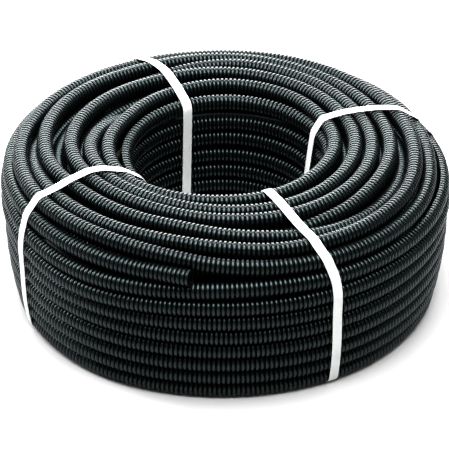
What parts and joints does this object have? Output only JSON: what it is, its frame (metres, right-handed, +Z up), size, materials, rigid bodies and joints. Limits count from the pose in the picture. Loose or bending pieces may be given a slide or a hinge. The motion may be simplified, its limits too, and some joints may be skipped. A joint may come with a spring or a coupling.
{
  "type": "corrugated conduit coil",
  "caption": "Coil of flexible corrugated conduit for routing cables, bound by flat straps, with one ribbed free end to cut from or join.",
  "frame": {"origin": "centre of the coil's underside, on the floor", "axes": "+Z up along the coil's axis; -Y is the front, where the free end lies"},
  "size_m": [0.5599, 0.56, 0.1967],
  "materials": {
    "conduit": "semi-matt black polyolefin, corrugated",
    "strap": "smooth white polypropylene strap"
  },
  "bodies": {
    "root": {"conduit": "conduit", "strap_front_left": "strap", "strap_back_left": "strap", "strap_back_right": "strap", "strap_front_right": "strap"}
  },
  "joints": []
}
